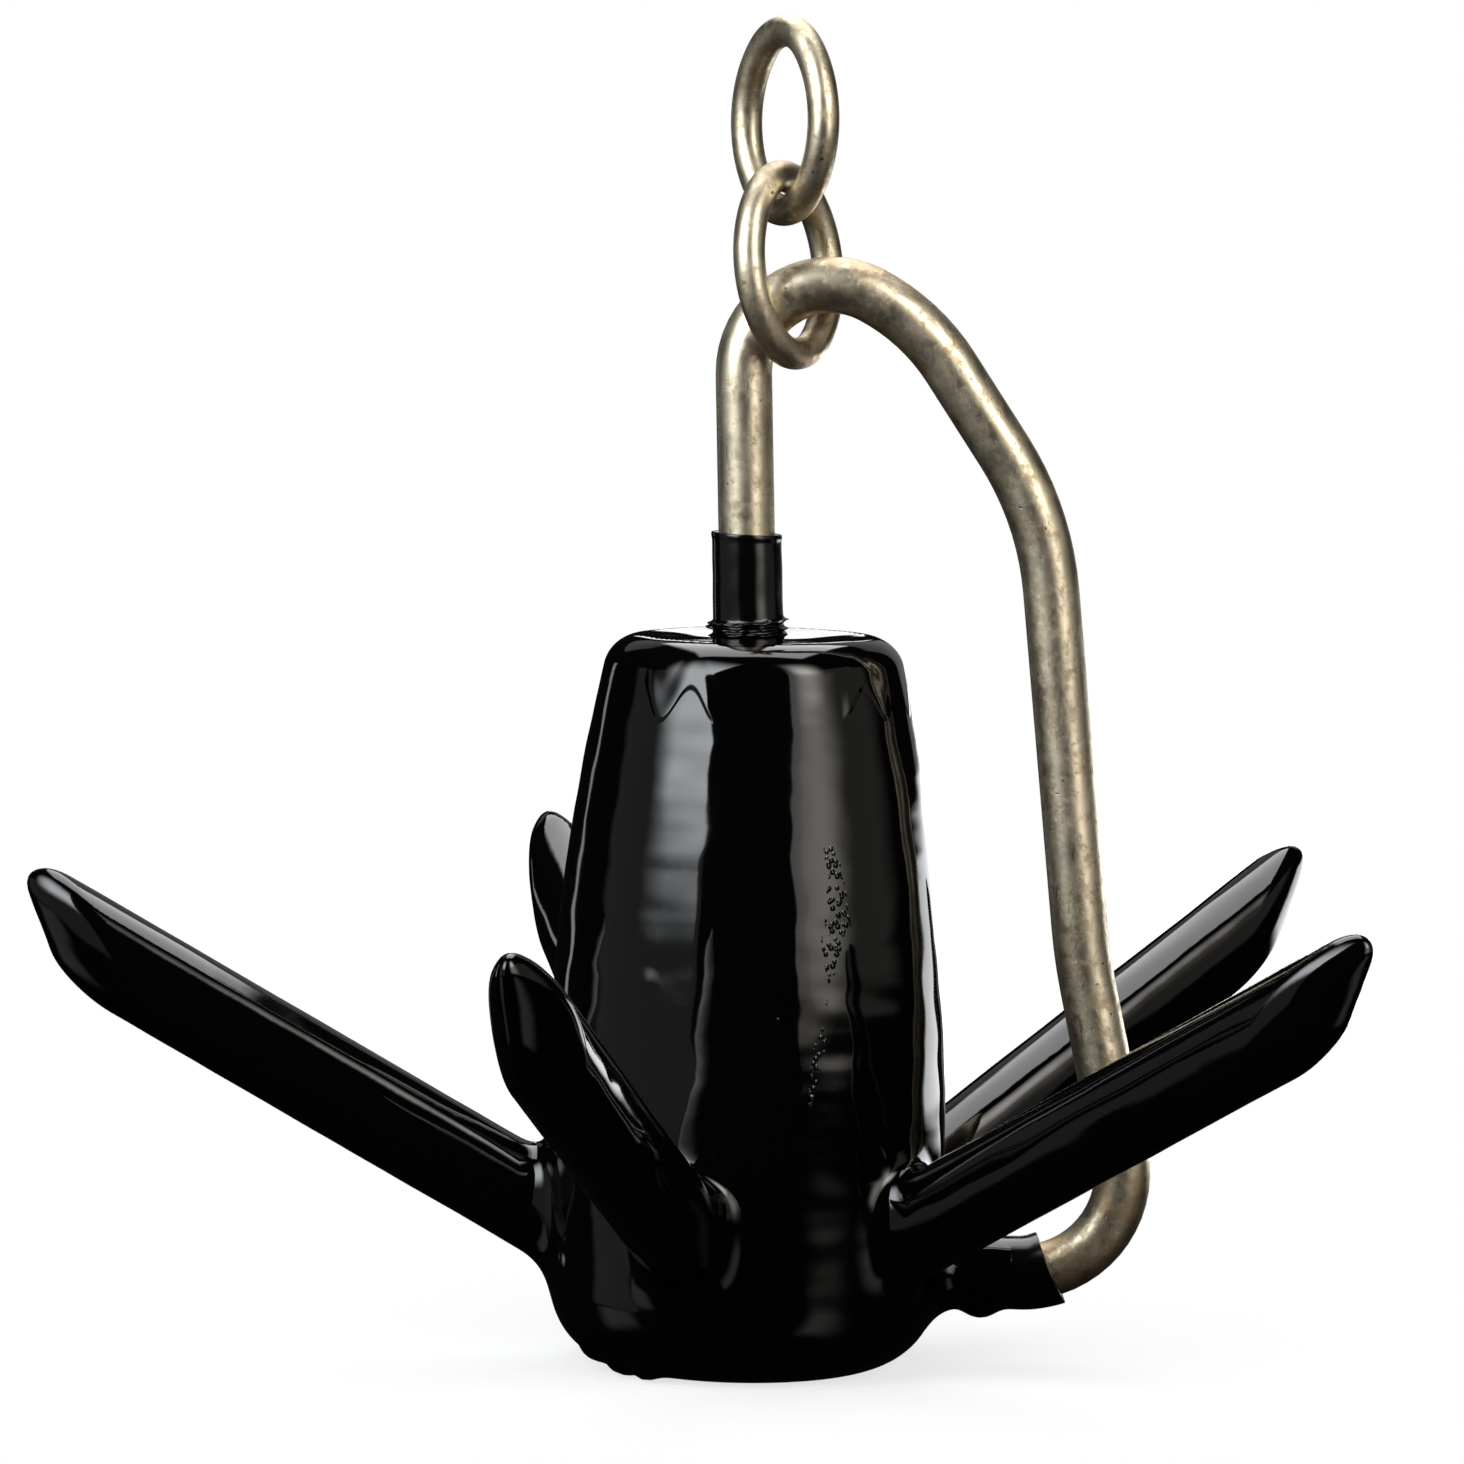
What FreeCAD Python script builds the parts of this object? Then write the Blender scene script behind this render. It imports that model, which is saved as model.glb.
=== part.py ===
import FreeCAD, Part
import math
import os

os.makedirs("parts", exist_ok=True)

# Driving dimensions, in millimetres and degrees.
# +Z is up, the base stands on Z = 0 and the bail lies in the XZ plane, on the +X side of the body.

# Body: a turned bell of cast iron under a thick glossy coat
body_height = 164.6
base_radius = 44.2
base_rounding = 18.0
belly_radius = 45.0
belly_height = 55.0
shoulder_radius = 40.6
shoulder_height = 122.0
rim_radius = 34.1
rim_rounding = 6.5
rim_lean = 13.0
top_crown = 0.8

# Flukes: pointed bars that sweep up and out, evenly spaced
fluke_count = 5
fluke_point_radius = 169.7
fluke_point_height = 117.1
fluke_rise = 29.5
fluke_width = 20.4
fluke_depth = 22.1
fluke_crown_width = 18.0
fluke_crown_drop = 4.2
fluke_parting_drop = 8.5
fluke_heel_width = 17.6
fluke_heel_drop = 17.0
fluke_nose_rake = 39.3
fluke_nose_half_angle = 27.8
fluke_nose_rounding = 3.5
fluke_root_fillet = 4.5
fluke_grip = 20.0

# Bail: one bent rod from the top of the body to its side
rod_diameter = 12.7
top_foot_offset = -1.3
top_foot_lean = 1.9
top_neck = 59.9
top_bend_radius = 19.6
top_bend_turn = 118.6
crest_bend_radius = 47.0
upper_run = 22.2
upper_run_fall = 56.5
knee_bend_radius = 70.0
middle_run = 76.0
middle_run_fall = 84.1
sway_bend_radius = 130.0
lower_run_fall = 77.9
hook_bend_radius = 22.8
low_foot_height = 21.5
rod_grip = 36.0

# Sleeves: the coat runs on round both ends of the rod and is trimmed by hand
top_sleeve_wall = 1.5
top_sleeve_length = 24.0
top_sleeve_slant = 5.0
low_sleeve_wall = 2.1
low_sleeve_wrap = 17.0
low_sleeve_slant = 8.0
sleeve_fillet = 3.0
wrinkle_thickness = 2.8
wrinkle_heights = (1.8, 4.2)
wrinkle_tilts = (5.0, -6.0)
drip_radius = 4.4
drip_drop = 1.7
drip_offset = 9.4

# Links: two equal oval links of round wire
wire_diameter = 7.1
link_inner_length = 33.0
link_side_play = 11.6
link_end_fullness = 0.8

# Rest pose of the links, held upright by the line
slip_link_place = 154.0
slip_link_shift = 3.6
slip_link_heading = 56.0
slip_link_lean = 8.0
slip_link_tilt = 4.5
line_link_heading = -57.0
seat_gap = 0.3
link_gap = 0.5

rod_radius = rod_diameter / 2
wire_radius = wire_diameter / 2
link_half_width = rod_radius + link_side_play / 2 + wire_radius
link_half_length = link_inner_length / 2 + wire_radius

X_AXIS = FreeCAD.Vector(1, 0, 0)
Y_AXIS = FreeCAD.Vector(0, 1, 0)
Z_AXIS = FreeCAD.Vector(0, 0, 1)
ORIGIN = FreeCAD.Vector(0, 0, 0)
SAME_PLACE = 0.001
SMOOTHNESS = 0.01
FLANK_POINTS = 80


def point(x, z):
    """A point in the XZ plane."""
    return FreeCAD.Vector(x, 0, z)


def direction(heading):
    """The unit direction in the XZ plane at an angle above +X."""
    angle = math.radians(heading)
    return point(math.cos(angle), math.sin(angle))


def walk(start, heading, moves):
    """A smooth path in the XZ plane: each move is (length, 0) for a run or (radius, turn) for a bend."""
    edges = []
    for size, turn in moves:
        if turn == 0:
            end = start + direction(heading) * size
            edges.append(Part.LineSegment(start, end).toShape())
        else:
            side = math.copysign(90, turn)
            centre = start + direction(heading + side) * size
            middle = centre - direction(heading + turn / 2 + side) * size
            end = centre - direction(heading + turn + side) * size
            edges.append(Part.Arc(start, middle, end).toShape())
            heading += turn
        start = end
    return edges, start, heading


def tube(edges, radius):
    """A round bar along a path."""
    first = edges[0]
    tangent = first.tangentAt(first.FirstParameter)
    start = first.valueAt(first.FirstParameter)
    profile = Part.Wire(Part.makeCircle(radius, start, tangent))
    return Part.Wire(edges).makePipeShell([profile], True, False)


def beyond(place, normal, size):
    """A block that fills the far side of a plane."""
    block = Part.makeBox(2 * size, 2 * size, size, FreeCAD.Vector(-size, -size, 0))
    return block.transformed(FreeCAD.Placement(place, FreeCAD.Rotation(Z_AXIS, normal)).toMatrix())


def body():
    """The bell, turned about Z, with a round rim and a crowned top.

    Its rounded base and swelling side are one smooth curve. The seam is turned clear of the flukes' roots.
    """
    base_centre = point(base_radius - base_rounding, base_rounding)
    foot = base_centre - Z_AXIS * base_rounding
    heel = base_centre + direction(-45) * base_rounding
    base_end = base_centre + X_AXIS * base_rounding
    belly = point(belly_radius, belly_height)
    shoulder = point(shoulder_radius, shoulder_height)
    rim_centre = point(rim_radius - rim_rounding, body_height - top_crown - rim_rounding)
    rim_start = rim_centre + direction(rim_lean) * rim_rounding
    rim_middle = rim_centre + direction((90 + rim_lean) / 2) * rim_rounding
    rim_end = rim_centre + Z_AXIS * rim_rounding
    crown_middle = point(rim_end.x / 2, body_height - top_crown / 4)
    crown = point(0, body_height)
    side = Part.BSplineCurve()
    side.interpolate(
        [base_end, belly, shoulder, rim_start],
        InitialTangent=Z_AXIS,
        FinalTangent=direction(90 + rim_lean),
    )
    flank = Part.Wire([Part.Arc(foot, heel, base_end).toShape(), side.toShape()])
    smooth_flank = Part.BSplineCurve()
    smooth_flank.approximate(Points=flank.discretize(Number=FLANK_POINTS), Tolerance=SMOOTHNESS)
    outline = Part.Wire(
        [
            Part.LineSegment(ORIGIN, foot).toShape(),
            smooth_flank.toShape(),
            Part.Arc(rim_start, rim_middle, rim_end).toShape(),
            Part.Arc(rim_end, crown_middle, crown).toShape(),
            Part.LineSegment(crown, ORIGIN).toShape(),
        ]
    )
    bell = Part.Face(outline).revolve(ORIGIN, Z_AXIS, 360)
    seam_turn = 90 / fluke_count
    bell.rotate(ORIGIN, Z_AXIS, seam_turn)
    return bell


def fluke_section():
    """The section of a fluke: a crowned top, a soft parting ridge on each side and a rounded underside."""

    def corner(width, drop):
        return FreeCAD.Vector(0, width / 2, -drop)

    def mirrored(place):
        return FreeCAD.Vector(place.x, -place.y, place.z)

    crown = corner(fluke_crown_width, fluke_crown_drop)
    parting = corner(fluke_width, fluke_parting_drop)
    heel = corner(fluke_heel_width, fluke_heel_drop)
    top = corner(0, 0)
    keel = corner(0, fluke_depth)
    return Part.Wire(
        [
            Part.Arc(mirrored(crown), top, crown).toShape(),
            Part.LineSegment(crown, parting).toShape(),
            Part.LineSegment(parting, heel).toShape(),
            Part.Arc(heel, keel, mirrored(heel)).toShape(),
            Part.LineSegment(mirrored(heel), mirrored(parting)).toShape(),
            Part.LineSegment(mirrored(parting), mirrored(crown)).toShape(),
        ]
    )


def fluke():
    """A fluke along +X, its nose cut to a spear point by two raked planes and then rounded."""
    rise = math.radians(fluke_rise)
    length = (fluke_point_radius - fluke_grip) / math.cos(rise)
    bar = Part.Face(fluke_section()).extrude(X_AXIS * -length)
    rake = math.radians(fluke_nose_rake)
    half = math.radians(fluke_nose_half_angle)
    for side in (1, -1):
        normal = FreeCAD.Vector(math.tan(half), side, -math.tan(half) / math.tan(rake))
        bar = bar.cut(beyond(ORIGIN, normal, length))
    nose = [edge for edge in bar.Edges if edge.BoundBox.XMin > -length / 2]
    bar = bar.makeFillet(fluke_nose_rounding, nose)
    bar.rotate(ORIGIN, Y_AXIS, -fluke_rise)
    bar.translate(point(fluke_point_radius, fluke_point_height))
    return bar


def bail_moves():
    """The runs and bends of the bail from its top foot, with the last run ending level in the body."""
    crest_turn = 90 + top_foot_lean - top_bend_turn + upper_run_fall
    to_body = [
        (rod_grip + top_neck, 0),
        (top_bend_radius, -top_bend_turn),
        (crest_bend_radius, -crest_turn),
        (upper_run, 0),
        (knee_bend_radius, upper_run_fall - middle_run_fall),
        (middle_run, 0),
        (sway_bend_radius, middle_run_fall - lower_run_fall),
    ]
    start = top_foot() - direction(90 + top_foot_lean) * rod_grip
    edges, end, heading = walk(start, 90 + top_foot_lean, to_body)
    hook_turn = 180 - lower_run_fall
    hook_drop = hook_bend_radius * (1 + math.cos(math.radians(lower_run_fall)))
    low_run = (end.z - low_foot_height - hook_drop) / math.sin(math.radians(lower_run_fall))
    edges, end, heading = walk(end, heading, [(low_run, 0), (hook_bend_radius, -hook_turn)])
    last_run = end.x - base_radius + rod_grip
    return start, to_body + [(low_run, 0), (hook_bend_radius, -hook_turn), (last_run, 0)]


def top_foot():
    """Where the rod leaves the top of the body."""
    return point(top_foot_offset, body_height)


def bail():
    """The rod from socket to socket."""
    start, moves = bail_moves()
    edges, end, heading = walk(start, 90 + top_foot_lean, moves)
    return tube(edges, rod_radius)


def top_bend_centre():
    """The centre of the bend that the slip link hangs on."""
    lean = direction(90 + top_foot_lean)
    return top_foot() + lean * top_neck + direction(top_foot_lean) * top_bend_radius


def top_sleeve():
    """The sleeve above the body, with the wrinkles that the dip left at its foot."""
    radius = rod_radius + top_sleeve_wall
    lean = direction(90 + top_foot_lean)
    start = top_foot() - lean * rod_grip / 2
    sleeve = Part.makeCylinder(radius, rod_grip / 2 + top_sleeve_length + radius, start, lean)
    trim = FreeCAD.Rotation(Y_AXIS, top_sleeve_slant).multVec(Z_AXIS)
    sleeve = sleeve.cut(beyond(top_foot() + lean * top_sleeve_length, trim, body_height))
    for height, tilt in zip(wrinkle_heights, wrinkle_tilts):
        axis = FreeCAD.Rotation(Y_AXIS, tilt).multVec(lean)
        wrinkle = Part.makeTorus(radius, wrinkle_thickness / 2, top_foot() + lean * height, axis)
        sleeve = sleeve.fuse(wrinkle)
    return sleeve


def low_sleeve():
    """The sleeve beside the body, with the drip that hangs from it."""
    start, moves = bail_moves()
    edges, end, heading = walk(start, 90 + top_foot_lean, moves)
    last_run = moves[-1][0]
    back = end + X_AXIS * (rod_grip / 2)
    radius = rod_radius + low_sleeve_wall
    straight = (last_run - rod_grip / 2, 0)
    path, end, heading = walk(back, 0, [straight, (hook_bend_radius, 2 * low_sleeve_wrap)])
    edges, trim_place, heading = walk(back, 0, [straight, (hook_bend_radius, low_sleeve_wrap)])
    trim = direction(heading - low_sleeve_slant)
    sleeve = tube(path, radius).cut(beyond(trim_place, trim, hook_bend_radius))
    drip_place = point(base_radius + drip_offset, low_foot_height - radius - drip_drop + drip_radius)
    return sleeve.fuse(Part.makeSphere(drip_radius, drip_place))


def lies_on(edge, solid):
    """Whether an edge lies on the surface of a solid."""
    middle = Part.Vertex(edge.valueAt((edge.FirstParameter + edge.LastParameter) / 2))
    return middle.distToShape(solid.Shells[0])[0] < SAME_PLACE


def joined(shape, branch, fillet):
    """A shape with a branch fused on and the seam between them rounded."""
    fused = shape.fuse(branch)
    seam = [edge for edge in fused.Edges if lies_on(edge, branch) and lies_on(edge, shape)]
    return fused.makeFillet(fillet, seam)


def casting():
    """The body with its flukes and sleeves in one piece, with a socket for each end of the rod."""
    shape = body()
    single = fluke()
    for number in range(fluke_count):
        turned = single.copy()
        turned.rotate(ORIGIN, Z_AXIS, 180 + number * 360 / fluke_count)
        shape = joined(shape, turned, fluke_root_fillet)
    shape = joined(shape, low_sleeve(), sleeve_fillet)
    return shape.fuse(top_sleeve()).cut(bail())


def link():
    """An oval link in the XZ plane, with the centre of its lower end at the origin."""
    end_radius = link_half_width * link_end_fullness
    reach = link_half_length - end_radius
    side_radius = (reach**2 + link_half_width**2 - end_radius**2) / (2 * (link_half_width - end_radius))
    end_turn = 2 * math.degrees(math.atan2(side_radius - link_half_width, reach))
    side_turn = 180 - end_turn
    start = point(0, 0)
    moves = [
        (end_radius, 90 - side_turn / 2),
        (side_radius, side_turn),
        (end_radius, 180 - side_turn),
        (side_radius, side_turn),
        (end_radius, 90 - side_turn / 2),
    ]
    edges, end, heading = walk(start, 0, moves)
    return tube(edges, wire_radius)


def slip_link_placement():
    """The slip link's lower end lies in the bend, and the link is turned so that the rod passes through."""
    turn = FreeCAD.Rotation(Z_AXIS, slip_link_heading)
    turn = turn.multiply(FreeCAD.Rotation(X_AXIS, -slip_link_lean))
    turn = turn.multiply(FreeCAD.Rotation(Y_AXIS, slip_link_tilt))
    seat = top_bend_radius - rod_radius - wire_radius - seat_gap
    place = top_bend_centre() + direction(slip_link_place) * seat - Y_AXIS * slip_link_shift
    return FreeCAD.Placement(place, turn)


def line_link_placement():
    """The line link's lower end passes under the upper end of the slip link."""
    hold = slip_link_placement().multVec(Z_AXIS * 2 * link_half_length)
    place = hold - Z_AXIS * (wire_diameter + link_gap)
    return FreeCAD.Placement(place, FreeCAD.Rotation(Z_AXIS, line_link_heading))


def placed(shape, placement):
    """A copy of a shape at a placement."""
    return shape.transformed(placement.toMatrix())


def save(node, shape):
    """Writes one node."""
    shape.exportStep("parts/" + node + ".step")


save("anchor_casting", casting())
save("bail_rod", bail())
save("slip_link", placed(link(), slip_link_placement()))
save("line_link", placed(link(), line_link_placement()))
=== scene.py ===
import bpy
import bmesh
import math
from functools import reduce
import numpy as np
from mathutils import Euler, Matrix, Vector, noise


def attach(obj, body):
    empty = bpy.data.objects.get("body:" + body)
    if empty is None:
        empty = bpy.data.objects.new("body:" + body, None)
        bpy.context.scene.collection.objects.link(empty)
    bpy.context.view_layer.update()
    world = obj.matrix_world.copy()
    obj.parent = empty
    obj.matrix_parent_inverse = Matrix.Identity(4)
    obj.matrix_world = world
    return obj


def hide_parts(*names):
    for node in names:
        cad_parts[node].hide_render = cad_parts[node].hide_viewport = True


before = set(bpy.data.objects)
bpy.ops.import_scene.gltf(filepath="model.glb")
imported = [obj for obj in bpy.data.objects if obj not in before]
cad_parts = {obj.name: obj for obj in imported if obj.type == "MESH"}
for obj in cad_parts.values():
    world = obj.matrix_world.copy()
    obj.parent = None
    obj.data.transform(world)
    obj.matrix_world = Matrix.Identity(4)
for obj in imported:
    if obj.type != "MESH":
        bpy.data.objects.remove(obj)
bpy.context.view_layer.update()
MM = 0.001


# Studio
# The anchor stands on a pale table, before a white wall that is seen only behind it.
# Tall soft boxes stand in front of it, left and right, and a level one hangs close over it.

def new_material(name):
    """A node material with its Principled shader at hand."""
    material = bpy.data.materials.new(name)
    material.use_nodes = True
    return material, material.node_tree, material.node_tree.nodes["Principled BSDF"]


def add_node(tree, kind, **inputs):
    """A shader node with constants set on its sockets by name."""
    node = tree.nodes.new(kind)
    for key, value in inputs.items():
        node.inputs[key.replace("_", " ")].default_value = value
    return node


def split(tree, vector):
    """The X, Y and Z of a vector socket."""
    node = tree.nodes.new("ShaderNodeSeparateXYZ")
    tree.links.new(vector, node.inputs[0])
    return tuple(node.outputs)


def arithmetic(tree, operation, first, second=0.0):
    """A math node of one or two terms, each a socket or a number."""
    node = tree.nodes.new("ShaderNodeMath")
    node.operation = operation
    for socket, term in zip(node.inputs, (first, second)):
        if isinstance(term, (int, float)):
            socket.default_value = term
        else:
            tree.links.new(term, socket)
    return node.outputs[0]


def total(tree, *terms):
    """The sum of sockets and numbers."""
    return reduce(lambda first, second: arithmetic(tree, "ADD", first, second), terms)


def product(tree, *terms):
    """Sockets and numbers multiplied by each other."""
    return reduce(lambda first, second: arithmetic(tree, "MULTIPLY", first, second), terms)


def ramp(tree, value, low, high, low_to=0.0, high_to=1.0):
    """A smooth change from one number to another while a value goes from low to high."""
    node = tree.nodes.new("ShaderNodeMapRange")
    node.interpolation_type = "SMOOTHSTEP"
    tree.links.new(value, node.inputs["Value"])
    node.inputs["From Min"].default_value = low
    node.inputs["From Max"].default_value = high
    node.inputs["To Min"].default_value = low_to
    node.inputs["To Max"].default_value = high_to
    return node.outputs["Result"]


def between(tree, value, low, low_full, high_full, high):
    """1 while a value lies between two edges, fading to 0 beyond them."""
    return product(tree, ramp(tree, value, low, low_full), ramp(tree, value, high_full, high, 1, 0))


def soft_noise(tree, vector, scale, detail, roughness=0.5):
    """A value that changes in soft patches from place to place, mostly within the noise range."""
    texture = add_node(tree, "ShaderNodeTexNoise", Scale=scale, Detail=detail, Roughness=roughness)
    tree.links.new(vector, texture.inputs["Vector"])
    return texture.outputs["Fac"]


def set_bump(tree, principled, height, strength, distance):
    """Lets a height stand out on the surface of a material."""
    bump = add_node(tree, "ShaderNodeBump", Strength=strength, Distance=distance)
    tree.links.new(height, bump.inputs["Height"])
    tree.links.new(bump.outputs["Normal"], principled.inputs["Normal"])


def soft_box(name, azimuth, elevation, distance, width, height, radiance, colour, feather):
    """A rectangular lamp, placed by its angles as seen from the anchor, 0 being towards the camera.

    Its feather is the share of it that fades at its left, right, lower and upper edge, as seen from the lamp.
    """
    data = bpy.data.lights.new(name, "AREA")
    data.shape = "RECTANGLE"
    data.size = width
    data.size_y = height
    data.energy = radiance * math.pi * width * height
    data.color = colour
    data.use_nodes = True
    tree = data.node_tree
    left, lower = split(tree, tree.nodes.new("ShaderNodeNewGeometry").outputs["Parametric"])[:2]
    right, upper = (arithmetic(tree, "SUBTRACT", 1, edge) for edge in (left, lower))
    edges = (left, right, lower, upper)
    strength = product(tree, *(ramp(tree, edge, 0, share) for edge, share in zip(edges, feather)))
    tree.links.new(strength, tree.nodes["Emission"].inputs["Strength"])
    lamp = bpy.data.objects.new(name, data)
    bpy.context.collection.objects.link(lamp)
    turn = math.radians(azimuth)
    rise = math.radians(elevation)
    level = distance * math.cos(rise)
    lamp.location = (level * math.sin(turn), -level * math.cos(turn), distance * math.sin(rise))
    lamp.rotation_euler = (lamp_target - lamp.location).to_track_quat("-Z", "Y").to_euler()
    return lamp


noise_range = (0.3, 0.7)
camera_place = (-0.0047, -1.630, 0.2834)
camera_pitch = math.radians(85.10)
camera_roll = math.radians(0.89)
lamp_target = Vector((0, 0, 0.12))
far = 1.5
room_light = 0.004
panel_edge = 0.02
table_radius = 0.20
table_fade = (0.02, 0.16)
table_opacity = 0.28

camera_data = bpy.data.cameras.new("camera")
camera_data.lens = 178.3
camera_data.sensor_width = 36
camera = bpy.data.objects.new("camera", camera_data)
bpy.context.collection.objects.link(camera)
camera.location = camera_place
pitch_turn = Euler((camera_pitch, 0, 0)).to_matrix()
roll_turn = Matrix.Rotation(camera_roll, 3, "Z")
camera.rotation_euler = (pitch_turn @ roll_turn).to_euler()
bpy.context.scene.camera = camera
bpy.context.scene.view_settings.view_transform = "Standard"

cool, plain, warm = (0.93, 0.97, 1.0), (0.98, 0.99, 1.0), (1.0, 0.96, 0.89)

# Each box has an azimuth, elevation, distance, width, height, radiance, colour and feather.

# The boxes in front make the bands of light down the body and along the flukes.
soft_box("left_box", -52, 37, far, 1.16, 1.88, 9.0, cool, (0.5, 0.03, 0.35, 0.54))
soft_box("right_box", 48, 22, far, 1.12, 1.40, 1.3, warm, (0.03, 0.6, 0.22, 0.5))
soft_box("right_middle", 46, 16.5, far, 1.05, 0.94, 1.4, warm, (0.5, 0.5, 0.3, 0.5))
soft_box("right_high", 44, 42, far, 0.80, 1.24, 8.5, warm, (0.45, 0.45, 0.33, 0.6))

# Wide dim walls lift the sides, and two low ones lift what faces down.
soft_box("left_wall", -66, 5, far, 2.20, 1.20, 0.22, cool, (0.1, 0.02, 0.1, 0.1))
soft_box("right_wall", 70, 20, far, 2.10, 1.10, 0.26, warm, (0.02, 0.3, 0.1, 0.1))
soft_box("left_floor", -84, -26, far, 0.90, 0.60, 0.34, cool, (0.3, 0.3, 0.5, 0.1))
soft_box("right_floor", 51, -24, far, 0.92, 1.00, 0.42, warm, (0.35, 0.65, 0.3, 0.3))

# A small card behind edges the right side, and a level box close overhead lights the rim and the tops.
soft_box("back_card", 146, 8, 0.45, 0.44, 0.16, 3.6, plain, (0.1, 0.1, 0.2, 0.2))
top_box = soft_box("top_box", 180, 62.8, 0.787, 0.50, 0.84, 4.2, plain, (0.12, 0.06, 0.05, 0.1))
top_box.rotation_euler = (0, 0, 0)


def studio_world():
    """White behind the anchor as the camera sees it, with a few pale panels that only reflections show."""
    world = bpy.data.worlds.new("studio")
    bpy.context.scene.world = world
    world.use_nodes = True
    tree = world.node_tree
    x, y, z = split(tree, tree.nodes.new("ShaderNodeTexCoord").outputs["Generated"])
    side = arithmetic(tree, "ARCTAN2", x, y)
    path = tree.nodes.new("ShaderNodeLightPath")
    mirrored = total(tree, path.outputs["Is Glossy Ray"], path.outputs["Is Transmission Ray"])
    strength = arithmetic(tree, "MAXIMUM", path.outputs["Is Camera Ray"], room_light)
    for left, right, low, high, level in (
        (0.10, 0.55, -0.20, 0.56, 0.25),
        (-0.60, -0.16, 0.40, 0.65, 0.25),
        (-0.06, 0.05, 0.155, 0.31, 2.20),
        (-0.80, -0.76, -0.15, 0.15, 1.20),
    ):
        panel = product(tree, mirrored, level)
        for value, first, last in ((side, left, right), (z, low, high)):
            inside = between(tree, value, first - panel_edge, first, last, last + panel_edge)
            panel = product(tree, panel, inside)
        strength = arithmetic(tree, "MAXIMUM", strength, panel)
    tree.links.new(strength, tree.nodes["Background"].inputs["Strength"])
    tree.nodes["Background"].inputs["Color"].default_value = (1, 1, 1, 1)


def table_top():
    """The pale table, which fades out a hand's width from the anchor."""
    bpy.ops.mesh.primitive_circle_add(vertices=96, radius=table_radius, fill_type="NGON")
    table = bpy.context.object
    table.name = "table"
    material, tree, principled = new_material("pale_table")
    principled.inputs["Base Color"].default_value = (0.93, 0.93, 0.93, 1)
    principled.inputs["Roughness"].default_value = 0.9
    principled.inputs["Specular IOR Level"].default_value = 0.0
    place = tree.nodes.new("ShaderNodeTexCoord")
    distance = tree.nodes.new("ShaderNodeVectorMath")
    distance.operation = "LENGTH"
    tree.links.new(place.outputs["Object"], distance.inputs[0])
    opacity = ramp(tree, distance.outputs["Value"], *table_fade, table_opacity, 0)
    tree.links.new(opacity, principled.inputs["Alpha"])
    table.data.materials.append(material)
    table.visible_glossy = False


studio_world()
table_top()


# Bail rod
# A half inch bar of mild steel, bent cold to a tall hoop, with both ends cast into the body.
# It is bare metal with a satin skin, brown heat stains and small pits, and painted shade browns its tops and
# undersides.

bare = (0.78, 0.685, 0.51, 1)
grey_skin = (0.61, 0.54, 0.40, 1)
# The dull brown and the rust also paint shade on the tops and undersides.
dull_brown_and_shade = (0.36, 0.29, 0.20, 1)
rust_and_shade = (0.40, 0.285, 0.165, 1)
pit_brown = (0.13, 0.09, 0.06, 1)

# What the undersides and tops add to the brown patches as painted shade, what low down adds to them, how
# strongly the marks show, how rough the skin is, and how far its grain and dents stand out and its marks lie
# deep.
underside_painted_shade = 0.12
top_painted_shade = 0.10
low_down_darkening = 0.06
dull_and_shade_share = 0.8
rusty_and_shade_share = 0.75
mark_share = 0.6
satin_range = (0.31, 0.41)
dull_roughness = 0.15
grain_rise = 0.35
dent_rise = 1.1
pit_depth = 1.0
mark_depth = 0.8
dull_depth = 0.25
steel_bump = 0.3


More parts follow.
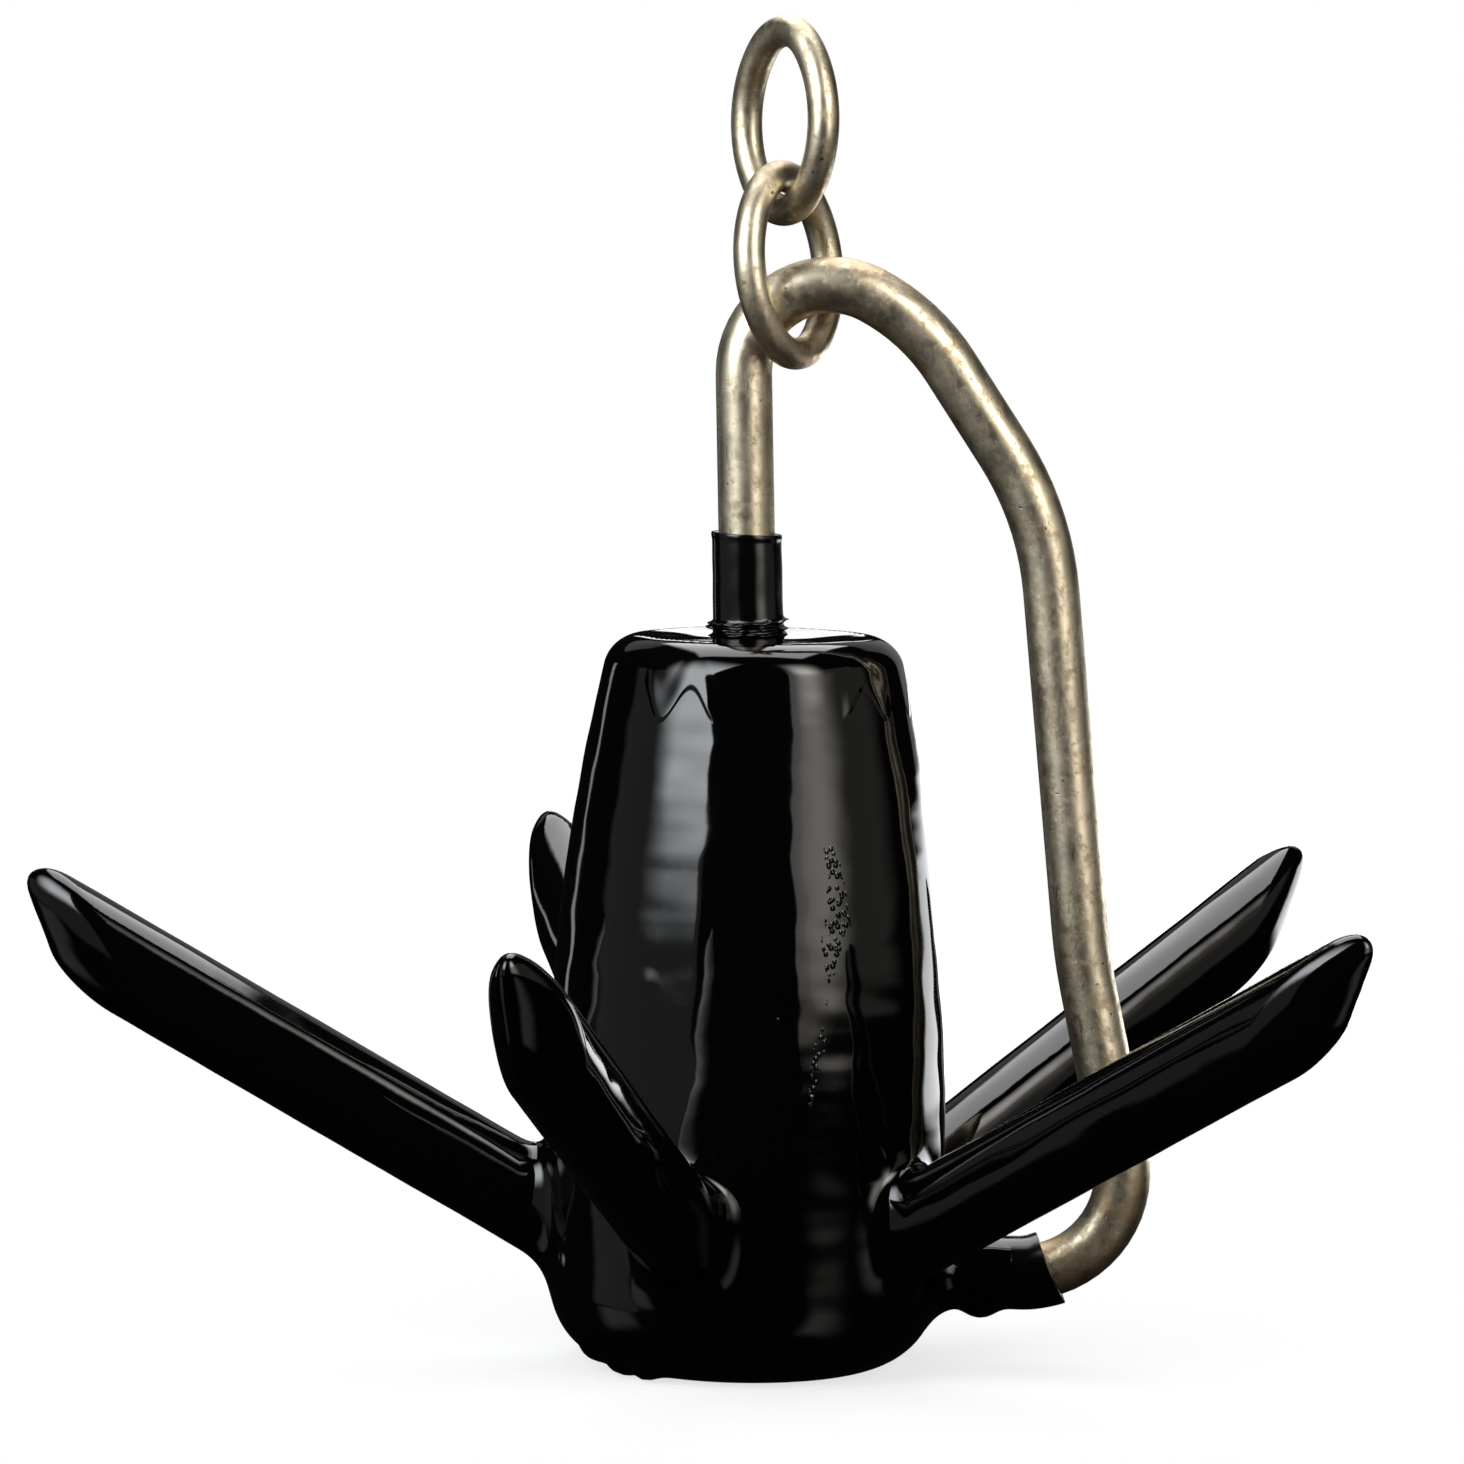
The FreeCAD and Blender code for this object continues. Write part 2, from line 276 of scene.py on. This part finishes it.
def worn_steel(name, seed):
    """Satin steel with a grey mill skin, drawn marks and pits, brown patches, painted shade that browns it
    above and underneath, and browner low down.
    """
    material, tree, principled = new_material(name)
    place = tree.nodes.new("ShaderNodeTexCoord")

    def patches(scale, detail, roughness=0.6, stretch=1.0):
        shift = tree.nodes.new("ShaderNodeMapping")
        shift.inputs["Location"].default_value = (seed, seed * 0.7, seed * 1.3)
        shift.inputs["Scale"].default_value = (1, 1, stretch)
        tree.links.new(place.outputs["Object"], shift.inputs["Vector"])
        return soft_noise(tree, shift.outputs["Vector"], scale, detail, roughness)

    def mixed(factor, first, second):
        mix = tree.nodes.new("ShaderNodeMix")
        mix.data_type = "RGBA"
        tree.links.new(factor, mix.inputs["Factor"])
        for socket, colour in ((mix.inputs["A"], first), (mix.inputs["B"], second)):
            if isinstance(colour, tuple):
                socket.default_value = colour
            else:
                tree.links.new(colour, socket)
        return mix.outputs["Result"]

    surface = tree.nodes.new("ShaderNodeNewGeometry")
    facing_up = split(tree, surface.outputs["Normal"])[2]
    level = split(tree, surface.outputs["Position"])[2]
    # Painted shade: faces that look down and faces that look up get the dull brown and the rust more often.
    underneath = ramp(tree, facing_up, -0.95, 0.25, underside_painted_shade, 0)
    above = ramp(tree, facing_up, 0.30, 0.95, 0, top_painted_shade)
    # Darker and browner low down.
    low_down = ramp(tree, level, 0.03, 0.14, low_down_darkening, 0)
    painted_shade_and_low_darkening = total(tree, underneath, above, low_down)
    tarnish_and_shade = total(tree, patches(scale=260, detail=10, roughness=0.8), painted_shade_and_low_darkening)
    rusting_and_shade = total(tree, patches(scale=120, detail=10, roughness=0.8), painted_shade_and_low_darkening)
    clouds = ramp(tree, patches(scale=90, detail=6, roughness=0.7), 0.42, 0.58)
    dull_and_shade = ramp(tree, tarnish_and_shade, 0.50, 0.62, 0, dull_and_shade_share)
    rusty_and_shade = ramp(tree, rusting_and_shade, 0.55, 0.66, 0, rusty_and_shade_share)
    pits = ramp(tree, patches(scale=560, detail=2), 0.70, 0.74)
    drawn_marks = ramp(tree, patches(scale=700, detail=3, stretch=0.10), 0.66, 0.72, 0, mark_share)
    metal = mixed(clouds, grey_skin, bare)
    metal = mixed(dull_and_shade, metal, dull_brown_and_shade)
    metal = mixed(rusty_and_shade, metal, rust_and_shade)
    metal = mixed(arithmetic(tree, "MAXIMUM", pits, drawn_marks), metal, pit_brown)
    tree.links.new(metal, principled.inputs["Base Color"])
    principled.inputs["Metallic"].default_value = 1.0
    satin = ramp(tree, patches(scale=160, detail=6), *noise_range, *satin_range)
    tree.links.new(total(tree, satin, product(tree, dull_and_shade, dull_roughness)), principled.inputs["Roughness"])
    height = total(
        tree,
        product(tree, patches(scale=900, detail=3), grain_rise),
        product(tree, patches(scale=110, detail=3), dent_rise),
        product(tree, pits, -pit_depth),
        product(tree, drawn_marks, -mark_depth),
        product(tree, dull_and_shade, -dull_depth),
    )
    set_bump(tree, principled, height, steel_bump, 0.2 * MM)
    return material


def finish_node(node, material):
    """Gives a CAD node its material."""
    node.data.materials.clear()
    node.data.materials.append(material)


finish_node(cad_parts["bail_rod"], worn_steel("rod_steel", 1.0))


# Links
# Two equal oval links of round steel wire, each bent to shape and welded shut, as worn as the rod.
# One hangs loose on the rod, and the other hangs loose in the first and takes the line.

finish_node(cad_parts["slip_link"], worn_steel("slip_link_steel", 4.0))
finish_node(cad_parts["line_link"], worn_steel("line_link_steel", 7.0))


# Coat
# Thick black vinyl, put on by dipping the hot casting, so it rounds every edge and stands in soft waves.
# It covers the bell and the flukes as one skin, with small drips, bubbles and sags that stay as they set.

# The bell, in millimetres
coat_height = 164.3
rim_rounding = 6.5
top_dish = 1.4
crest_radius = 26.0
base_rounding = 18.0
side_foot = 8.0
side_heights = (18.0, 33.6, 61.7, 90.1, 118.7, 146.8, 159.6)
side_radii = (44.2, 44.45, 45.0, 43.9, 41.0, 36.4, 33.6)
side_curve = np.polyfit(side_heights, side_radii, deg=4)

# A fluke, in millimetres: its two sides are given by how far they face outwards and down
fluke_count = 5
fluke_point = (168.8, 117.1)
fluke_rise = math.radians(29.5)
fluke_back = 172.0
crown_radius = 11.7
keel_radius = 10.1
fluke_depth = 22.1
half_width = 10.2
parting_depth = 8.5
upper_side = (0.963, -0.269)
lower_side = (0.987, 0.163)
side_softness = 1.5
nose_taper = math.tan(math.radians(27.8))
nose_rake = math.tan(math.radians(39.3))
nose_rounding = 5.0
nose_reach = 14.0
ridge_softness = 2.6
ridge_fullness = 1.9
root_blend = 7.0

# The low sleeve's root, and the place and radius of each drip
low_foot_height = 21.5
low_sleeve_radius = 8.4
low_sleeve_start = 20.0
low_sleeve_join = 61.0
sleeve_blend = 6.0
drip_blend = 3.0
drips = (
    (53.6, 0.5, 15.2, 4.2),
    (-27.0, -22.5, 3.6, 1.9),
    (-22.0, -28.5, 3.0, 1.6),
    (-33.5, -17.5, 6.2, 1.5),
)

# The net that the coat is drawn from, and its humps, level bands and runs along the flukes.
# Past the root the humps grow calm and the runs take over, and all die away down at the table.
rough_turns = 48
voxel = 1.15
smooth_rounds = 8
pull_steps = 3
probe = 0.05
hump_size = (10, 10, 9)
hump_depth = 0.16
band_size = (16, 16, 4)
band_shift = (20, 0, 0)
band_depth = 0.045
run_size = (22, 4, 4)
run_drift = 60
run_depth = 0.11
root_reach = 48
root_fade = 10
fluke_calm = 0.6
table_gap = 6

# The vinyl's two blacks, and how far its orange peel stands out
vinyl_black = (0.0006, 0.0006, 0.0007, 1)
vinyl_brown = (0.0014, 0.0012, 0.0012, 1)
peel_rise = 0.004

# The film below the rim, in metres, and the angles in radians where it shows on each side of the body
drip_line_height = 0.1525
lobe_count = 16
lobe_turn = 0.41
lobe_reach = (0.0012, 0.0042)
film_edge = 0.0009
film_fade = 0.0090
film_rise = 0.26
left_film = (-0.80, -0.72, -0.30, -0.20)
right_film = (0.58, 0.66, 0.95, 1.05)
back_film = (1.2, 1.5)
back_film_share = 0.7

# The run of bubbles: heights in metres, and the angles in radians that its middle slants between
bubble_ends = (0.062, 0.070, 0.120, 0.123)
bubble_slant_heights = (0.062, 0.108)
bubble_slant_angles = (0.318, 0.458)
bubble_thinning = 5.5
few_bubbles_heights = (0.084, 0.096)
few_bubbles_thinning = 0.12
bubble_scale = 720.0
bubble_rise = 0.24

# The middle and radius of a pimple and of two specks on the body, in millimetres
pimple_rise = 0.15
pimples = (
    ((-22.9, -38.0, 91.4), 3.84),
    ((-25.2, -37.0, 95.2), 0.96),
    ((6.0, -43.5, 84.0), 0.80),
)


def rounded_both(first, second, radius):
    """The part that two shapes share, with the edge between them rounded."""
    outside = np.hypot(np.maximum(first + radius, 0), np.maximum(second + radius, 0))
    return np.minimum(np.maximum(first, second), -radius) + outside


def soft_both(first, second, width):
    """The part that two shapes share, with a small soft edge."""
    near = np.maximum(width - np.abs(first - second), 0) / width
    return np.maximum(first, second) + near * near * width / 4


def soft_either(first, second, width):
    """Two shapes joined, with a fillet between them."""
    near = np.maximum(width - np.abs(first - second), 0) / width
    return np.minimum(first, second) - near * near * width / 4


def bell_distance(x, y, z):
    """How far a point lies outside the bell, in millimetres."""
    reach = np.hypot(x, y)
    level = np.clip(z, side_foot, coat_height + top_dish)
    lean = np.polyval(np.polyder(side_curve), level)
    side = (reach - np.polyval(side_curve, level)) / np.hypot(1, lean)
    top = z - coat_height - top_dish * np.minimum(reach / crest_radius, 1) ** 2
    return rounded_both(rounded_both(side, top, rim_rounding), -z, base_rounding)


def turn_from_fluke(x, y):
    """The angle round the body from the middle of the nearest fluke, in radians."""
    pitch = 2 * math.pi / fluke_count
    return (np.arctan2(y, x) - math.pi + pitch / 2) % pitch - pitch / 2


def fluke_distance(x, y, z):
    """How far a point lies outside the nearest fluke, in millimetres."""
    turn = turn_from_fluke(x, y)
    reach = np.hypot(x, y)
    along = reach * np.cos(turn) - fluke_point[0]
    across = np.abs(reach * np.sin(turn))
    up = z - fluke_point[1]
    back = -(along * math.cos(fluke_rise) + up * math.sin(fluke_rise))
    depth = along * math.sin(fluke_rise) - up * math.cos(fluke_rise)
    crown = np.hypot(across, np.minimum(depth - crown_radius, 0)) - crown_radius
    keel = np.hypot(across, np.maximum(depth - fluke_depth + keel_radius, 0)) - keel_radius
    upper = upper_side[0] * (across - half_width) + upper_side[1] * (depth - parting_depth)
    lower = lower_side[0] * (across - half_width) + lower_side[1] * (depth - parting_depth)
    top = soft_both(crown, upper, side_softness)
    section = soft_both(top, soft_both(keel, lower, side_softness), side_softness)
    slope = nose_taper / nose_rake
    ridge = np.hypot(across, ridge_softness) - ridge_fullness
    nose = (ridge - nose_taper * back + slope * depth) / math.sqrt(1 + nose_taper**2 + slope**2)
    rounding = nose_rounding * (1 + np.exp(-((back / nose_reach) ** 2)))
    return np.maximum(rounded_both(section, nose, rounding), back - fluke_back)


def sleeve_distance(x, y, z):
    """How far a point lies outside the root of the low sleeve and outside the drips, in millimetres."""
    tube = np.hypot(y, z - low_foot_height) - low_sleeve_radius
    shape = np.maximum(np.maximum(tube, x - low_sleeve_join), low_sleeve_start - x)
    for drip_x, drip_y, drip_z, radius in drips:
        drip = np.sqrt((x - drip_x) ** 2 + (y - drip_y) ** 2 + (z - drip_z) ** 2) - radius
        shape = soft_either(shape, drip, drip_blend)
    return shape


def coat_distance(places):
    """How far each place lies outside the coat, in millimetres."""
    x, y, z = places.T
    casting = soft_either(bell_distance(x, y, z), fluke_distance(x, y, z), root_blend)
    return soft_either(casting, sleeve_distance(x, y, z), sleeve_blend)


def outward(places):
    """The coat's outward direction at each place."""
    slopes = [coat_distance(places + side) - coat_distance(places - side) for side in np.eye(3) * probe]
    normals = np.stack(slopes, axis=1)
    return normals / np.linalg.norm(normals, axis=1)[:, None]


def full_turn(steps):
    """Even steps round a full turn, in radians."""
    return np.linspace(0, 2 * math.pi, steps, endpoint=False)


def hull(points):
    """A mesh of the convex hull of some points."""
    form = bmesh.new()
    for place in points:
        form.verts.new(place)
    bmesh.ops.convex_hull(form, input=form.verts)
    loose = [vertex for vertex in form.verts if not vertex.link_faces]
    bmesh.ops.delete(form, geom=loose, context="VERTS")
    mesh = bpy.data.meshes.new("hull")
    form.to_mesh(mesh)
    form.free()
    return mesh


def bell_points():
    """Rings of points on a rough bell."""
    rings = [(26, 0), (38, 6), *zip(side_radii, side_heights), (30, coat_height)]
    return [
        (radius * math.cos(turn), radius * math.sin(turn), height)
        for radius, height in rings
        for turn in full_turn(rough_turns)
    ]


def fluke_points(number):
    """Points on a rough fluke: its section at the root and again where the nose cuts it."""
    outline = [(0, 0), (9, 4), (half_width, parting_depth), (8.8, 17), (0, fluke_depth)]
    section = outline + [(-across, depth) for across, depth in outline]
    azimuth = math.pi + number * 2 * math.pi / fluke_count
    points = []
    for across, depth in section:
        nose = abs(across) / nose_taper + depth / nose_rake
        for back in (nose, fluke_back):
            along = fluke_point[0] - back * math.cos(fluke_rise) + depth * math.sin(fluke_rise)
            height = fluke_point[1] - back * math.sin(fluke_rise) - depth * math.cos(fluke_rise)
            x = along * math.cos(azimuth) - across * math.sin(azimuth)
            y = along * math.sin(azimuth) + across * math.cos(azimuth)
            points.append((x, y, height))
    return points


def sleeve_points():
    """Points on the root of the low sleeve."""
    return [
        (x, low_sleeve_radius * math.cos(turn), low_foot_height + low_sleeve_radius * math.sin(turn))
        for x in (low_sleeve_start, low_sleeve_join)
        for turn in full_turn(rough_turns // 2)
    ]


def even_skin(meshes):
    """One even net of small faces over some closed meshes that run into each other."""
    form = bmesh.new()
    for mesh in meshes:
        form.from_mesh(mesh)
    joined = bpy.data.meshes.new("coat")
    form.to_mesh(joined)
    form.free()
    coat = bpy.data.objects.new("vinyl_coat", joined)
    bpy.context.collection.objects.link(coat)
    remesh = coat.modifiers.new("remesh", "REMESH")
    remesh.mode = "VOXEL"
    remesh.voxel_size = voxel
    graph = bpy.context.evaluated_depsgraph_get()
    coat.data = bpy.data.meshes.new_from_object(coat.evaluated_get(graph))
    coat.modifiers.clear()
    return coat


def relaxed(places, edges):
    """Each place moved to the middle of its neighbours."""
    count = np.bincount(edges.ravel(), minlength=len(places))
    sums = np.zeros_like(places)
    for axis in range(3):
        sums[:, axis] += np.bincount(edges[:, 0], places[edges[:, 1], axis], len(places))
        sums[:, axis] += np.bincount(edges[:, 1], places[edges[:, 0], axis], len(places))
    return sums / count[:, None]


def waves(places):
    """How far the coat stands out at each place: soft humps, level bands and runs along the flukes."""
    x, y, z = places.T
    reach = np.hypot(x, y)
    along = reach * math.cos(fluke_rise) + z * math.sin(fluke_rise)
    across = reach * np.sin(turn_from_fluke(x, y))
    depth = reach * math.sin(fluke_rise) - z * math.cos(fluke_rise)
    on_fluke = np.clip((reach - root_reach) / root_fade, 0, 1)
    off_table = np.clip(z / table_gap, 0, 1)
    runs = np.stack([along, across, depth], axis=1) / run_size
    layers = (
        (places / hump_size, hump_depth * (1 - fluke_calm * on_fluke)),
        (places / band_size + band_shift, band_depth * (1 - on_fluke)),
        (runs + places / run_drift, run_depth * on_fluke),
    )
    heights = np.zeros(len(places))
    for samples, depths in layers:
        heights += np.array([noise.noise(sample) for sample in samples.tolist()]) * depths * off_table
    return heights


def vinyl_coat():
    """The coat, drawn from the net onto its true surface and then waved."""
    flukes = [fluke_points(number) for number in range(fluke_count)]
    coat = even_skin([hull(points) for points in (bell_points(), sleeve_points(), *flukes)])
    mesh = coat.data
    places = np.empty(len(mesh.vertices) * 3)
    mesh.vertices.foreach_get("co", places)
    places = places.reshape(-1, 3)
    edges = np.empty(len(mesh.edges) * 2, int)
    mesh.edges.foreach_get("vertices", edges)
    edges = edges.reshape(-1, 2)
    # After the first round, each one evens the net out before it pulls the points onto the surface again.
    for smooth_round in range(smooth_rounds):
        if smooth_round:
            places = (places + relaxed(places, edges)) / 2
        for pull_step in range(pull_steps):
            places -= coat_distance(places)[:, None] * outward(places)
    # The waves move each point outwards or inwards, and their slopes tilt the way that it faces.
    heights = waves(places)
    slopes = np.stack([(waves(places + side) - heights) / probe for side in np.eye(3) * probe], axis=1)
    facing = outward(places)
    places += heights[:, None] * facing
    facing -= slopes - (slopes * facing).sum(axis=1)[:, None] * facing
    mesh.vertices.foreach_set("co", (places * MM).ravel())
    mesh.shade_smooth()
    mesh.update()
    mesh.normals_split_custom_set_from_vertices(facing / np.linalg.norm(facing, axis=1)[:, None])
    return coat


def drip_line(tree, place, turn, z):
    """The lower edge of a thicker film, which hangs in lobes below the rim on some sides of the body."""
    sway = ramp(tree, soft_noise(tree, place, scale=25, detail=0), *noise_range, -0.5, 0.5)
    lobes = total(tree, product(tree, total(tree, turn, lobe_turn), lobe_count), sway)
    reach = ramp(tree, soft_noise(tree, place, scale=14, detail=1), 0.35, 0.65, *lobe_reach)
    edge = total(tree, product(tree, arithmetic(tree, "COSINE", lobes), reach), drip_line_height)
    above = arithmetic(tree, "SUBTRACT", z, edge)
    film = product(tree, ramp(tree, above, -film_edge, film_edge), film_rise)
    fading_film = product(tree, film, ramp(tree, above, film_edge, film_fade, 1, 0))
    left = between(tree, turn, *left_film)
    right = between(tree, turn, *right_film)
    back = ramp(tree, arithmetic(tree, "ABSOLUTE", turn), *back_film, 0, back_film_share)
    sides = arithmetic(tree, "MAXIMUM", arithmetic(tree, "MAXIMUM", left, right), back)
    return product(tree, fading_film, sides)


def bubble_run(tree, place, turn, z):
    """Small bubbles in a slanting run down the front of the body, fewer towards its lower end."""
    middle = ramp(tree, z, *bubble_slant_heights, *bubble_slant_angles)
    off_middle = arithmetic(tree, "ABSOLUTE", arithmetic(tree, "SUBTRACT", turn, middle))
    low_thinning = ramp(tree, z, *few_bubbles_heights, few_bubbles_thinning, 0)
    thinning = total(tree, product(tree, off_middle, bubble_thinning), low_thinning)
    crowd = arithmetic(tree, "SUBTRACT", soft_noise(tree, place, scale=90, detail=1), thinning)
    ends = between(tree, z, *bubble_ends)
    cells = add_node(tree, "ShaderNodeTexVoronoi", Scale=bubble_scale, Randomness=1.0)
    tree.links.new(place, cells.inputs["Vector"])
    domes = ramp(tree, cells.outputs["Distance"], 0.10, 0.52, 1, 0)
    return product(tree, domes, ramp(tree, crowd, 0.27, 0.31), ends, bubble_rise)


def pimple(tree, place, middle, radius):
    """A small dome on the body, with its middle and radius in millimetres."""
    apart = tree.nodes.new("ShaderNodeVectorMath")
    apart.operation = "DISTANCE"
    apart.inputs[1].default_value = [value * MM for value in middle]
    tree.links.new(place, apart.inputs[0])
    return ramp(tree, apart.outputs["Value"], 0, radius * MM, pimple_rise, 0)


def glossy_vinyl(name, shiniest, dullest):
    """Black vinyl with a wet shine, a faint orange peel and the marks that the dip left on the body."""
    material, tree, principled = new_material(name)
    place = tree.nodes.new("ShaderNodeTexCoord").outputs["Object"]
    x, y, z = split(tree, place)
    turn = arithmetic(tree, "ARCTAN2", x, product(tree, y, -1))
    colour = tree.nodes.new("ShaderNodeMix")
    colour.data_type = "RGBA"
    colour.inputs["A"].default_value = vinyl_black
    colour.inputs["B"].default_value = vinyl_brown
    tree.links.new(soft_noise(tree, place, scale=30, detail=4), colour.inputs["Factor"])
    tree.links.new(colour.outputs["Result"], principled.inputs["Base Color"])
    shine = ramp(tree, soft_noise(tree, place, scale=25, detail=3), *noise_range, shiniest, dullest)
    tree.links.new(shine, principled.inputs["Roughness"])
    principled.inputs["IOR"].default_value = 1.5
    height = total(
        tree,
        product(tree, soft_noise(tree, place, scale=300, detail=2), peel_rise),
        drip_line(tree, place, turn, z),
        bubble_run(tree, place, turn, z),
        *(pimple(tree, place, middle, radius) for middle, radius in pimples),
    )
    set_bump(tree, principled, height, 1.0, MM)
    return material


def finish_coat(piece, material):
    """Gives a skin of the coat its material and its place on the anchor."""
    piece.data.materials.clear()
    piece.data.materials.append(material)
    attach(piece, "anchor")
    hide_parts("anchor_casting")


finish_coat(vinyl_coat(), glossy_vinyl("glossy_vinyl", 0.03, 0.07))


# Sleeves
# The vinyl runs on round both ends of the rod, and is cut back by hand with a knife to a plain end.
# The dip left torn, crinkled rings round the foot of the upper sleeve, where the rod leaves the body.

rod_radius = 6.35
top_foot = (-1.3, 164.6)
top_lean = math.radians(91.9)
hook_centre = (62.57, 44.3)
hook_radius = 22.8
cut_lip = 0.12
cut_rounding = 0.25
rod_grip = 0.05
uneven_length = 6

# The upper sleeve, in millimetres along and out from the rod, and its cut's slant in degrees
top_start = -1.5
top_length = 24.0
top_slant = 5.0
top_outside = 7.85
top_unevenness = 0.10
foot_flare = 0.25
foot_fade = 5
cut_swell = 0.15
swell_inset = 0.6
swell_width = 0.7

# The lower sleeve, in the same way
low_start = -4.6
low_length = 6.77
low_slant = -8.0
low_outside = 8.45
low_unevenness = 0.12
start_pinch = 0.9
start_fade = 0.9
lip_rise = 0.35
lip_width = 3.0

# Each torn ring's place along the sleeve, its reach outwards, its tilt and its thickness
torn_rings = (
    (1.3, 1.3, 0.2, 0.35),
    (2.7, 1.9, -0.25, 0.30),
    (4.1, 1.5, 0.3, 0.35),
)
ring_wander = 0.5
ring_fullness = 0.75
ring_raggedness = 0.5
ring_sharpness = 1.3


def top_path(along):
    """Places and headings in the XZ plane along the rod above the body."""
    heading = np.full_like(along, top_lean)
    return top_foot[0] + along * np.cos(heading), top_foot[1] + along * np.sin(heading), heading


def low_path(along):
    """Places and headings in the XZ plane along the rod beside the body, up into the hook's bend."""
    heading = np.maximum(along, 0) / hook_radius
    x = hook_centre[0] + np.minimum(along, 0) + hook_radius * np.sin(heading)
    z = hook_centre[1] - hook_radius * np.cos(heading)
    return x, z, heading


def sleeve(name, path, start, length, slant, radius, steps, turns):
    """A skin round the rod from a start to a slanted end, where it turns in to the rod as a cut face."""
    shares = np.linspace(0, 1, steps)
    share, turn = np.meshgrid(shares, full_turn(turns), indexing="ij")
    end = length + rod_radius * math.tan(math.radians(slant)) * np.cos(turn)
    along = start + share * (end - start)
    out = radius(along, turn, end)
    along = np.vstack([along, along[-1:], along[-1:]])
    out = np.vstack([out, out[-1:] - cut_rounding, np.full((1, turns), rod_radius - rod_grip)])
    along[-2:] += cut_lip
    turn = np.vstack([turn, turn[:2]])
    x, z, heading = path(along)
    rise = out * np.cos(turn)
    places = np.stack([x - rise * np.sin(heading), out * np.sin(turn), z + rise * np.cos(heading)], axis=-1)
    rows = np.arange(places.shape[0] * turns).reshape(-1, turns)
    after = np.roll(rows, -1, axis=1)
    faces = np.stack([rows[:-1], rows[1:], after[1:], after[:-1]], axis=-1).reshape(-1, 4)
    mesh = bpy.data.meshes.new(name)
    mesh.from_pydata((places.reshape(-1, 3) * MM).tolist(), [], faces.tolist())
    mesh.shade_smooth()
    skin = bpy.data.objects.new(name, mesh)
    bpy.context.collection.objects.link(skin)
    return skin


def uneven(turn, along, seed, scale):
    """Smooth random values round a sleeve and along it, between -1 and 1."""
    samples = [
        noise.noise(Vector((math.cos(angle) * scale, math.sin(angle) * scale, place / uneven_length + seed)))
        for angle, place in zip(turn.flat, along.flat)
    ]
    return np.reshape(samples, turn.shape)


def top_radius(along, turn, end):
    """The upper sleeve, with torn rings at its foot and a slightly thick cut end."""
    out = top_outside + top_unevenness * uneven(turn, along, seed=3.0, scale=1.0)
    out += foot_flare * np.exp(-np.maximum(along, 0) / foot_fade)
    out += cut_swell * np.exp(-(((along - end + swell_inset) / swell_width) ** 2))
    flat = np.zeros_like(along)
    for place, reach, tilt, thickness in torn_rings:
        wander = ring_wander * uneven(turn, flat, seed=place, scale=2.5)
        middle = place + tilt * np.cos(turn + place) + wander
        torn = reach * (ring_fullness + ring_raggedness * uneven(turn, flat, seed=place + 9, scale=3.0))
        out += torn * np.exp(-np.abs((along - middle) / thickness) ** ring_sharpness)
    return out


def low_radius(along, turn, end):
    """The lower sleeve, drawn in at its start and lipped on its upper side at the cut end."""
    out = low_outside + low_unevenness * uneven(turn, along, seed=8.0, scale=1.2)
    out -= start_pinch * np.exp(-np.maximum(along - low_start, 0) / start_fade)
    upper = np.clip(np.cos(turn), 0, 1) ** 2
    return out + lip_rise * upper * np.exp(-(((along - end) / lip_width) ** 2))


duller_vinyl = glossy_vinyl("duller_vinyl", 0.12, 0.20)
top_sleeve = sleeve("top_sleeve_vinyl", top_path, top_start, top_length, top_slant, top_radius, 170, 120)
low_sleeve = sleeve("low_sleeve_vinyl", low_path, low_start, low_length, low_slant, low_radius, 60, 96)
finish_coat(top_sleeve, duller_vinyl)
finish_coat(low_sleeve, duller_vinyl)
